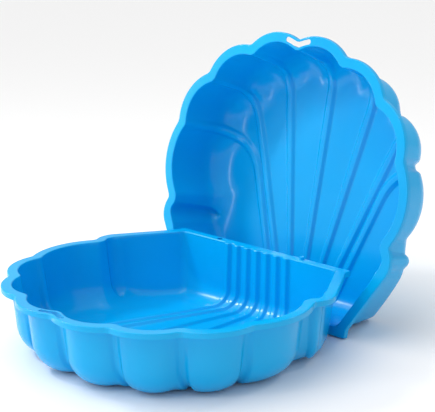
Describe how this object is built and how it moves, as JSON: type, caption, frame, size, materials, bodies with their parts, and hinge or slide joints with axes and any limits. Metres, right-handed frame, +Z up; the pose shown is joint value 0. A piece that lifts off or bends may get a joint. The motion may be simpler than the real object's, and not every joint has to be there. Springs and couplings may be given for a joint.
{
  "type": "sandbox with cover",
  "caption": "Scallop-shaped moulded sandpit: a ribbed pan with a flat rim, and a matching loose shell that covers it or stands behind it.",
  "frame": {"origin": "middle of the whole object's footprint, on the ground", "axes": "+Z up, +Y from the base's scalloped front towards the cover that stands behind it, +X to the right seen from the front"},
  "size_m": [0.8674, 1.0728, 0.762],
  "materials": {
    "base_plastic": "glossy moulded blue polyethylene",
    "cover_plastic": "glossy moulded blue polyethylene"
  },
  "bodies": {
    "base": {"base_shell": "base_plastic"},
    "cover": {"cover_shell": "cover_plastic"}
  },
  "joints": [
    {"name": "cover_tip", "type": "hinge", "parent": "base", "child": "cover", "pos_m": [0, 0.40582, 0], "axis": [-1, 0, 0], "range_deg": [0, 77.72]}
  ]
}
